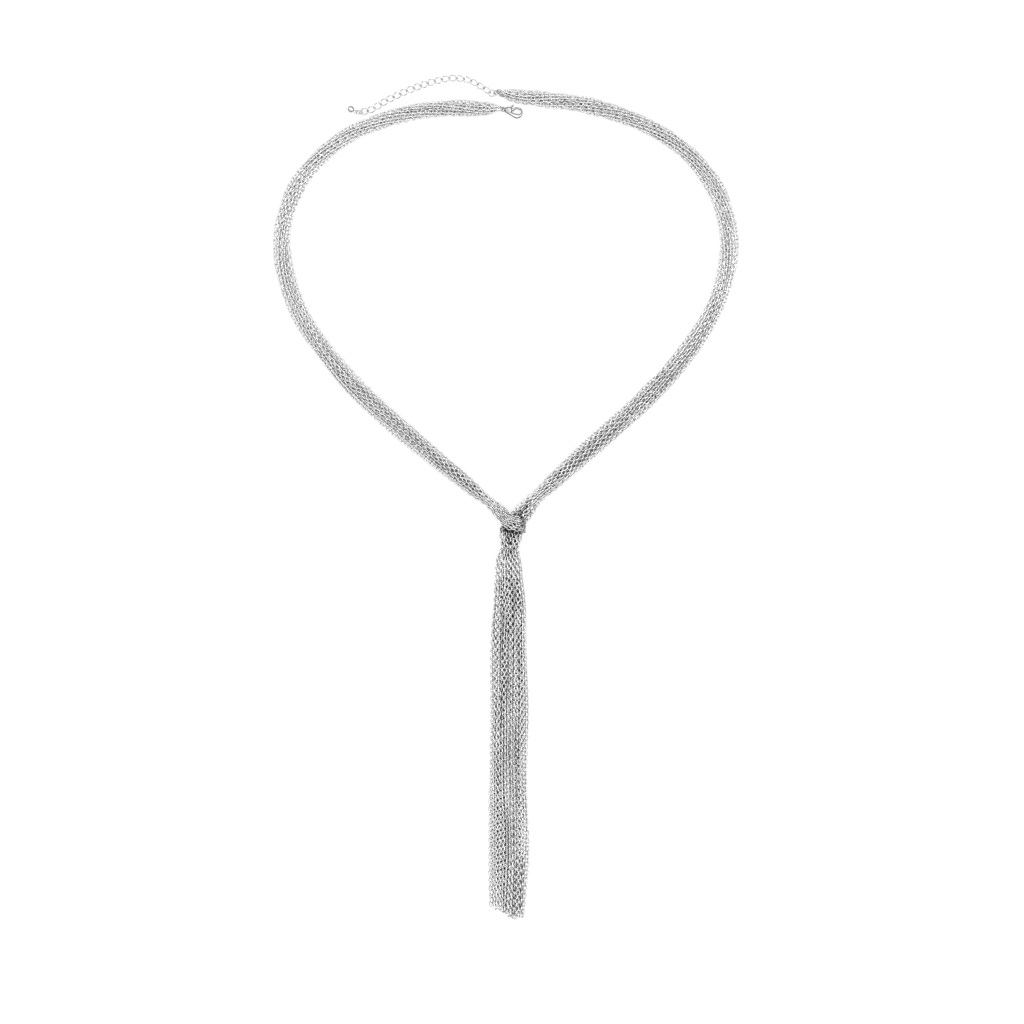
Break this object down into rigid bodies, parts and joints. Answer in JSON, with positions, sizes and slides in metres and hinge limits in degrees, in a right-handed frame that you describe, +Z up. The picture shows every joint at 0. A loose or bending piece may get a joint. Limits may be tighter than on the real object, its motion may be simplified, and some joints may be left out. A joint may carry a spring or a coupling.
{
  "type": "layered chain necklace",
  "caption": "Long necklace of many fine silver chains in two bundles, knotted into a long tassel, with a lobster clasp and an extender chain.",
  "frame": {"origin": "the surface it lies on, under the middle of its box; the clasp lies at +Y and the tassel's free end at -Y", "axes": "+Y from the tassel's end to the clasp along the necklace's length, +Z up off the surface"},
  "size_m": [0.21, 0.3802, 0.0083],
  "materials": {
    "chain": "bright silver plate, a little darker in the hollows",
    "clasp": "polished cast silver plate",
    "rings": "polished round wire",
    "extender": "polished twisted wire"
  },
  "bodies": {
    "necklace": {"left_bundle": "chain", "right_bundle": "chain", "knot": "chain", "tassel": "chain", "clasp_body": "clasp", "clasp_rivet": "clasp", "clasp_ring": "rings", "gather_ring": "rings", "small_ring": "rings", "extender_ring": "rings", "drop_ring": "rings", "curb_link_01": "extender", "curb_link_02": "extender", "curb_link_03": "extender", "curb_link_04": "extender", "curb_link_05": "extender", "curb_link_06": "extender", "curb_link_07": "extender", "curb_link_08": "extender", "curb_link_09": "extender", "curb_link_10": "extender", "curb_link_11": "extender", "curb_link_12": "extender", "curb_link_13": "extender", "curb_link_14": "extender", "curb_link_15": "extender", "curb_link_16": "extender", "curb_link_17": "extender", "curb_link_18": "extender", "curb_link_19": "extender", "end_drop": "rings"},
    "lever": {"clasp_lever": "clasp"}
  },
  "joints": [
    {"name": "lever_hinge", "type": "hinge", "parent": "necklace", "child": "lever", "pos_m": [0.00066, 0.17428, 0.0012], "axis": [0, 0, 1], "range_deg": [-14, 0], "stiffness_Nm_per_rad": 0.004}
  ]
}
